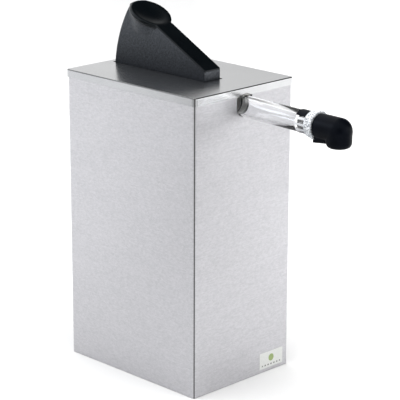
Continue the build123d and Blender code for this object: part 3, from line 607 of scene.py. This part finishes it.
def lever_bar(x, y, z):
    bar = smooth_max(np.abs(x) - BAR_HALF_W, BAR_FRONT - y, FRONT_ROUND)
    bar = smooth_max(bar, from_line(y, z, REAR_CENTRE) - REAR_R, REAR_ROUND)
    return smooth_max(bar, BAR_BOTTOM - z, BOTTOM_ROUND)


def lever_pad(x, along, below):
    flare = np.clip((below - PAD_RIM) / PAD_FLARE, 0, 1)
    radius = PAD_R - (PAD_R - PAD_FOOT_R) * (1 - (1 - flare) ** FLARE_CURVE)
    return smooth_max(np.hypot(x, along) - radius, below - PAD_FLARE, PAD_FOOT_ROUND)


def lever_field(x, y, z):
    """Distance-like field of the lever: a wedge-shaped bar with a round dished pad."""
    up = (z - BAR_TOP_Z) * math.cos(BAR_SLOPE) - y * math.sin(BAR_SLOPE)
    along = y * math.cos(BAR_SLOPE) + (z - BAR_TOP_Z) * math.sin(BAR_SLOPE) - PAD_S
    below = np.clip(-up, 0, None)
    deep = np.clip(below, 0, FILLET_FULL) * np.clip((FILLET_END - below) / FILLET_FADE, 0, 1)
    fillet = FILLET_START + FILLET_GROWTH * deep
    body = smooth_min(lever_bar(x, y, z), lever_pad(x, along, below), fillet)
    near_pad = np.clip((along + PAD_R) / TOP_ROUND_RUN, 0, 1)
    body = smooth_max(body, up, TOP_ROUND + PAD_EXTRA_ROUND * near_pad)
    ball_r = (DISH_R ** 2 + DISH_DEPTH ** 2) / (2 * DISH_DEPTH)
    dish = ball_r - np.sqrt(x ** 2 + along ** 2 + (up - ball_r + DISH_DEPTH) ** 2)
    body = smooth_max(body, dish, DISH_ROUND)
    hollow = np.maximum(between(y, HOLLOW_FRONT, HOLLOW_REAR), z - HOLLOW_TOP)
    body = np.maximum(body, -hollow)
    lip = np.maximum(from_line(y, z, PIVOT) - LIP_R, LIP_FRONT - y)
    lip = np.maximum(lip, between(z, BAR_BOTTOM, LIP_TOP))
    body = np.minimum(body, np.maximum(lip, np.abs(x) - BAR_HALF_W))
    cam = np.maximum(from_line(y, z, CAM_CENTRE) - CAM_R, np.abs(x) - CAM_HALF_W)
    boss = np.maximum(from_line(y, z, PIVOT) - BOSS_R, np.abs(x) - BAR_HALF_W)
    body = np.minimum(np.minimum(body, cam), boss)
    return np.maximum(body, PIN_BORE_R - from_line(y, z, PIVOT))


def make_lever():
    points, faces = skin(lever_field, LEVER_LOW, LEVER_HIGH, LEVER_CELL)
    add_mesh("lever", points, faces, "lever_plastic", "lever", "lever_plastic", "lever_handle")


# ================================================================ tube, sleeve, collar
# Lengths along the tube are measured from the case front.
TUBE_R, TUBE_BORE_R, TUBE_EDGE_R = 10.85, 7.85, 0.4
TUBE_REAR, TUBE_FRONT = -16.0, 93.3
TUBE_SEGMENTS = 96

# Sleeve: plain lip, grooves between FLUTE_FROM and FLUTE_TO, then a wider thread.
SLEEVE_START, SLEEVE_THREAD, SLEEVE_END = 76.6, 87.9, 93.3
SLEEVE_R, SLEEVE_THREAD_R, SLEEVE_BORE_R, SLEEVE_EDGE_R = 11.35, 11.95, 10.87, 0.2
FLUTE_FROM, FLUTE_TO, FLUTE_RUN_IN = SLEEVE_START + 1.4, SLEEVE_THREAD - 0.5, 0.3
FLUTE_DEPTH = 0.35
FLUTE_STEPS = 6
FLUTE_SEGMENTS = 24

# Collar: a bell that widens from its small end; inside its wide end is a lip.
COLLAR_START, COLLAR_LIP_START, COLLAR_END = 88.1, 95.4, 98.3
COLLAR_R, COLLAR_SMALL_R, COLLAR_BORE_R, COLLAR_LIP_R = 14.3, 12.5, 12.03, 10.8
COLLAR_EDGE_R, COLLAR_SMALL_EDGE, COLLAR_LIP_EDGE = 0.8, 0.2, 0.3
BELL_STEPS, BELL_CURVE = 14, 0.8
COLLAR_TEETH = 40
TOOTH_SEGMENTS = 8
TOOTH_DEPTH, TOOTH_RUN_IN, TOOTH_FREE_END = 0.3, 2.0, 0.5


def rounded_tube(r_in, r_out, z0, z1, edge, steps=4):
    """Closed outline of a tube wall with rounded ends."""
    outline = arc((r_out - edge, z0 + edge), edge, -90, 0, steps)
    outline += arc((r_out - edge, z1 - edge), edge, 0, 90, steps)
    outline += arc((r_in + edge, z1 - edge), edge, 90, 180, steps)
    outline += arc((r_in + edge, z0 + edge), edge, 180, 270, steps)
    return outline


def make_tube():
    outline = rounded_tube(TUBE_BORE_R, TUBE_R, TUBE_REAR, TUBE_FRONT, TUBE_EDGE_R)
    points, faces = lathe(outline, TUBE_SEGMENTS, TUBE)
    add_mesh("clear_tube", points, faces, "clear_plastic", "case", "clear_plastic",
             "discharge_tube")


def flute(r, z, angle):
    """Sleeve radius: rounded grooves between its start lip and its thread."""
    along = FLUTE_FROM - FLUTE_RUN_IN / 2 < z < FLUTE_TO + FLUTE_RUN_IN / 2
    wave = (0.5 + 0.5 * math.cos(FLUTES * (angle - math.pi / 2) + math.pi)) ** 2
    return r - FLUTE_DEPTH * wave if along and r > SLEEVE_R - SLEEVE_EDGE_R else r


def make_sleeve():
    edge = SLEEVE_EDGE_R
    outline = arc((SLEEVE_R - edge, SLEEVE_START + edge), edge, -90, 0, 3)
    outline += [(SLEEVE_R, FLUTE_FROM - FLUTE_RUN_IN)]
    span = FLUTE_TO - FLUTE_FROM
    outline += [(SLEEVE_R, FLUTE_FROM + span * i / FLUTE_STEPS) for i in range(FLUTE_STEPS + 1)]
    outline += [(SLEEVE_R, SLEEVE_THREAD)]
    outline += arc((SLEEVE_THREAD_R - edge, SLEEVE_THREAD + edge), edge, -90, 0, 3)
    outline += arc((SLEEVE_THREAD_R - edge, SLEEVE_END - edge), edge, 0, 90, 3)
    outline += [(SLEEVE_BORE_R, SLEEVE_END), (SLEEVE_BORE_R, SLEEVE_START)]
    points, faces = lathe(outline, FLUTES * FLUTE_SEGMENTS, TUBE, flute)
    add_mesh("fluted_sleeve", points, faces, "sleeve_plastic", "case", "clear_plastic",
             "ribbed_sleeve")


def tooth(r, z, angle):
    """Collar radius: blunt grip teeth on the bell, none in the bore or on the wide end."""
    if r < COLLAR_BORE_R + COLLAR_LIP_EDGE or z > COLLAR_END - TOOTH_FREE_END:
        return r
    wave = 0.5 + 0.5 * math.cos(COLLAR_TEETH * angle)
    return r - TOOTH_DEPTH * wave ** 2 * min(1.0, (z - COLLAR_START) / TOOTH_RUN_IN)


def make_collar():
    bell_start = COLLAR_START + COLLAR_SMALL_EDGE
    bell_end = COLLAR_END - COLLAR_EDGE_R
    outline = [(COLLAR_BORE_R, COLLAR_START), (COLLAR_SMALL_R - COLLAR_SMALL_EDGE, COLLAR_START)]
    for i in range(BELL_STEPS + 1):
        t = i / BELL_STEPS
        grow = math.sin(t * math.pi / 2) ** BELL_CURVE
        r = COLLAR_SMALL_R + (COLLAR_R - COLLAR_SMALL_R) * grow
        outline.append((r, bell_start + (bell_end - bell_start) * t))
    outline += arc((COLLAR_R - COLLAR_EDGE_R, bell_end), COLLAR_EDGE_R, 0, 90, 5)
    outline += [(COLLAR_LIP_R + COLLAR_LIP_EDGE, COLLAR_END)]
    outline += [(COLLAR_LIP_R, COLLAR_END - COLLAR_LIP_EDGE)]
    outline += [(COLLAR_LIP_R, COLLAR_LIP_START), (COLLAR_BORE_R, COLLAR_LIP_START)]
    points, faces = lathe(outline, COLLAR_TEETH * TOOTH_SEGMENTS, TUBE, tooth)
    add_mesh("frosted_collar", points, faces, "frosted_plastic", "spout_collar",
             "frosted_plastic", "spout_collar")


# ================================================================ spout
SPOUT_LOW, SPOUT_HIGH = box_mm("spout_elbow")
SPOUT_CELL = 0.55

# Barrel from its mouth at the collar to the ball of the knee, then the leg straight down.
MOUTH, KNEE = 98.5, 123.0
MOUTH_R, KNEE_R, LEG_R, SPOUT_BORE_R = 12.4, 12.78, 12.6, 6.0
KNEE_POINT = TUBE @ Vector((0, 0, KNEE))
LEG_DROP = 16.56
MOUTH_ROUND, LEG_ROUND, SPOUT_BLEND = 1.2, 6.38, 0.8

# Spigot in the tube, with the flange that the collar holds and the neck between them and it.
SPIGOT_START, SPIGOT_R = 75.5, 7.8
FLANGE_START, FLANGE_END, FLANGE_R = 93.5, 95.2, 11.6
NECK_START, NECK_R = 94.5, 10.5

# Finger tab under the barrel; its lower face rises from TAB_DROP to TAB_END_DROP.
TAB_START, TAB_END, TAB_HALF_W = 96.8, 113.0, 7.5
TAB_DROP, TAB_END_DROP = 15.8, 13.6
TAB_SIDE_ROUND, TAB_END_ROUND = 1.4, 0.8

# Field value for the places where a cut doesn't reach.
NO_CUT = -99


def spout_tab(x, k, up):
    rise = (TAB_DROP - TAB_END_DROP) / (TAB_END - TAB_START)
    underside = -up - TAB_DROP + rise * (k - TAB_START)
    tab = smooth_max(np.abs(x) - TAB_HALF_W, underside, TAB_SIDE_ROUND)
    tab = smooth_max(tab, TAB_START - k, TAB_END_ROUND)
    tab = smooth_max(tab, k - TAB_END, TAB_END_ROUND)
    return np.maximum(tab, up)


def spout_field(x, y, z):
    """Elbow with a ball knee, a downward leg, a flanged spigot and a finger tab."""
    dy, dz = y - FRONT_Y, z - TUBE_Z
    k = -dy * math.cos(TUBE_SLOPE) - dz * math.sin(TUBE_SLOPE)
    up = -dy * math.sin(TUBE_SLOPE) + dz * math.cos(TUBE_SLOPE)
    r = np.hypot(x, up)
    taper = MOUTH_R + (KNEE_R - MOUTH_R) * np.clip((k - MOUTH) / (KNEE - MOUTH), 0, 1)
    barrel = smooth_max(np.maximum(r - taper, k - KNEE), MOUTH - k, MOUTH_ROUND)
    from_knee = np.sqrt(x ** 2 + (y - KNEE_POINT.y) ** 2 + (z - KNEE_POINT.z) ** 2)
    body = np.minimum(barrel, from_knee - KNEE_R)
    leg_r = np.hypot(x, y - KNEE_POINT.y)
    leg = smooth_max(leg_r - LEG_R, KNEE_POINT.z - LEG_DROP - z, LEG_ROUND)
    leg = np.maximum(leg, z - KNEE_POINT.z)
    body = smooth_min(body, leg, SPOUT_BLEND)
    neck = np.maximum(r - NECK_R, between(k, NECK_START, MOUTH))
    flange = np.maximum(r - FLANGE_R, between(k, FLANGE_START, FLANGE_END))
    spigot = np.maximum(r - SPIGOT_R, between(k, SPIGOT_START, MOUTH))
    body = np.minimum(np.minimum(body, neck), np.minimum(flange, spigot))
    body = smooth_min(body, spout_tab(x, k, up), SPOUT_BLEND)
    body = np.maximum(body, np.where(k < KNEE, SPOUT_BORE_R - r, NO_CUT))
    inner_leg = np.where(z < KNEE_POINT.z, SPOUT_BORE_R - leg_r, NO_CUT)
    return np.maximum(body, np.maximum(SPOUT_BORE_R - from_knee, inner_leg))


def make_spout():
    points, faces = skin(spout_field, SPOUT_LOW, SPOUT_HIGH, SPOUT_CELL)
    add_mesh("spout", points, faces, "spout_plastic", "case", "spout_plastic", "spout_elbow")


# ================================================================ return spring
SPRING_LOW, SPRING_HIGH = box_mm("return_spring")
WIRE_R = 0.7
WIRE_END_SHARE = 0.55
SPRING_TURNS = 7
SPRING_STEPS = 48
WIRE_SIDES = 12


def make_spring():
    """Round-wire coil with narrower wire ends, on a mesh of its own."""
    centre = (SPRING_LOW + SPRING_HIGH) / 2
    coil_r = (SPRING_HIGH.x - SPRING_LOW.x) / 2 - WIRE_R
    z0, z1 = SPRING_LOW.z + WIRE_R, SPRING_HIGH.z - WIRE_R
    over = Vector((0, 0, 1))
    count = SPRING_TURNS * SPRING_STEPS
    points = []
    for i in range(count + 1):
        angle = 2 * math.pi * i / SPRING_STEPS
        out = Vector((math.cos(angle), math.sin(angle), 0))
        middle = Vector((centre.x, centre.y, z0 + (z1 - z0) * i / count)) + coil_r * out
        wire = WIRE_R * (WIRE_END_SHARE if i in (0, count) else 1.0)
        for side in range(WIRE_SIDES):
            turn = 2 * math.pi * side / WIRE_SIDES
            points.append(middle + wire * (math.cos(turn) * out + math.sin(turn) * over))
    faces = []
    for i in range(count):
        for side in range(WIRE_SIDES):
            following = (side + 1) % WIRE_SIDES
            a, b = i * WIRE_SIDES, (i + 1) * WIRE_SIDES
            faces.append((a + side, a + following, b + following, b + side))
    faces.append(tuple(reversed(range(WIRE_SIDES))))
    faces.append(tuple(range(count * WIRE_SIDES, (count + 1) * WIRE_SIDES)))
    spring = add_mesh("spring", points, faces, "fastener_steel", "case", "fastener_steel",
                      "return_spring")
    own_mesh(spring)


make_spring()
make_lever()
make_tube()
make_sleeve()
make_collar()
make_spout()


# ================================================================ floor and light
FLOOR_R = 30.0

# Painted light and shade on the floor paper, its grey level by x - y, metres: palest to the right,
# darkest just left.
FLOOR_LEFT = (0.88, 0.66, -1.3, -0.20)
FLOOR_RIGHT = (0.0, 0.29, 0.0, 0.50)
# Towards the camera painted shade makes it FLOOR_NEAR instead; x + y over which that changes, metres.
FLOOR_NEAR = 0.46
FLOOR_FADE = (-0.21, 0.01)
# A strip down the middle doesn't change: |x - y| over which the strip ends, metres.
FLOOR_STRIP = (0.26, 0.90)


def floor_paper_painted_light():
    """Matt paper with painted light and shade: its level changes smoothly from place to place."""
    mat, tree, shader = new_material("floor_paper_painted_light")
    away = vector_calc(tree, "DOT_PRODUCT", object_point(tree), (1, 1, 0))
    across = vector_calc(tree, "DOT_PRODUCT", object_point(tree), (1, -1, 0))
    level = calc(tree, "ADD", spread(tree, across, *FLOOR_LEFT), spread(tree, across, *FLOOR_RIGHT))
    strip = spread(tree, calc(tree, "ABSOLUTE", across), 1.0, 0.0, *FLOOR_STRIP)
    fade = calc(tree, "MAXIMUM", spread(tree, away, 0.0, 1.0, *FLOOR_FADE), strip)
    lift = calc(tree, "MULTIPLY", calc(tree, "SUBTRACT", level, FLOOR_NEAR), fade)
    level = calc(tree, "ADD", lift, FLOOR_NEAR)
    feed(tree, shader, {"Base Color": ramp(tree, level, grey(0.0), grey(1.0)), "Roughness": 0.9})
    return mat


def make_floor():
    mesh = bpy.data.meshes.new("floor")
    build = bmesh.new()
    bmesh.ops.create_circle(build, cap_ends=True, segments=96, radius=FLOOR_R)
    build.to_mesh(mesh)
    build.free()
    floor = bpy.data.objects.new("floor", mesh)
    bpy.context.scene.collection.objects.link(floor)
    mesh.materials.append(floor_paper_painted_light())


# Flags and a soft box of the studio: direction, angle of the full effect, angle where it ends,
# and the light's level there (1 is the plain dome). Angles in degrees.
STUDIO_SIDES = (
    ((0.72, -0.05, 0.69), 26, 48, 0.02),
    ((-0.69, -0.72, 0.10), 20, 40, 0.02),
    ((0.88, 0.47, 0.30), 6, 46, 0.58),
    ((-0.69, 0.72, 0.05), 14, 50, 0.92),
    ((0.69, -0.72, 0.10), 14, 46, 2.00),
    ((0.96, 0.25, -0.02), 10, 32, 0.05),
)
DOME_STRENGTH = 1.42


def lobe(tree, direction, inner, outer, level):
    """Level inside inner degrees of direction, 1 beyond outer degrees."""
    looking = tree.nodes.new("ShaderNodeTexCoord").outputs["Generated"]
    inputs = {
        "Value": vector_calc(tree, "DOT_PRODUCT", looking, Vector(direction).normalized()),
        "From Min": math.cos(math.radians(outer)),
        "From Max": math.cos(math.radians(inner)),
        "To Min": 1.0,
        "To Max": level,
    }
    made = add_node(tree, "ShaderNodeMapRange", inputs, interpolation_type="SMOOTHSTEP")
    return made.outputs["Result"]


def make_world():
    """White dome, multiplied by every flag and soft box."""
    world = bpy.data.worlds.new("studio")
    bpy.context.scene.world = world
    world.use_nodes = True
    tree = world.node_tree
    first, *others = [lobe(tree, *side) for side in STUDIO_SIDES]
    light = first
    for shade in others:
        light = calc(tree, "MULTIPLY", light, shade)
    feed(tree, tree.nodes["Background"], {"Strength": DOME_STRENGTH, "Color": light})


def area_light(name, place, target, size, power, tint=(1, 1, 1), glossy=True):
    """Rectangular lamp at place, in metres, that shines at target and isn't seen itself."""
    data = bpy.data.lights.new(name, "AREA")
    data.shape = "RECTANGLE"
    data.size, data.size_y = size
    data.energy = power
    data.color = tint
    lamp = bpy.data.objects.new(name, data)
    bpy.context.scene.collection.objects.link(lamp)
    lamp.location = place
    aim = Vector(target) - Vector(place)
    lamp.rotation_euler = aim.to_track_quat("-Z", "Y").to_euler()
    lamp.visible_camera = False
    lamp.visible_glossy = glossy


# ================================================================ camera
# Place in metres; azimuth, elevation and roll in degrees; lens and sensor width in millimetres.
CAMERA_PLACE = (-1.2396, -1.2723, 0.7057)
CAMERA_AZIMUTH = -44.96
CAMERA_ELEVATION = 16.64
CAMERA_ROLL = 0.17
LENS = 160.7
SENSOR_W = 36.0
CLIP_NEAR, CLIP_FAR = 0.05, 100.0


def make_camera():
    data = bpy.data.cameras.new("camera")
    data.lens = LENS
    data.sensor_width = SENSOR_W
    data.clip_start, data.clip_end = CLIP_NEAR, CLIP_FAR
    camera = bpy.data.objects.new("camera", data)
    bpy.context.scene.collection.objects.link(camera)
    bpy.context.scene.camera = camera
    a = math.radians(CAMERA_AZIMUTH)
    e = math.radians(CAMERA_ELEVATION)
    r = math.radians(CAMERA_ROLL)
    back = Vector((math.sin(a) * math.cos(e), -math.cos(a) * math.cos(e), math.sin(e)))
    right = Vector((math.cos(a), math.sin(a), 0))
    up = back.cross(right)
    side = math.cos(r) * right + math.sin(r) * up
    top = math.cos(r) * up - math.sin(r) * right
    turn = Matrix((side, top, back)).transposed()
    camera.matrix_world = Matrix.Translation(CAMERA_PLACE) @ turn.to_4x4()


make_floor()
make_world()
area_light("overhead", (0, 0, 2.6), (0, 0, 0), (3.0, 3.0), 84.0, glossy=False)
area_light("left_box", (-1.5, 1.9, 1.7), (0, -0.1, 0.3), (1.2, 1.0), 12.0, (0.86, 0.92, 1.0))
make_camera()
bpy.context.scene.view_settings.view_transform = "Standard"
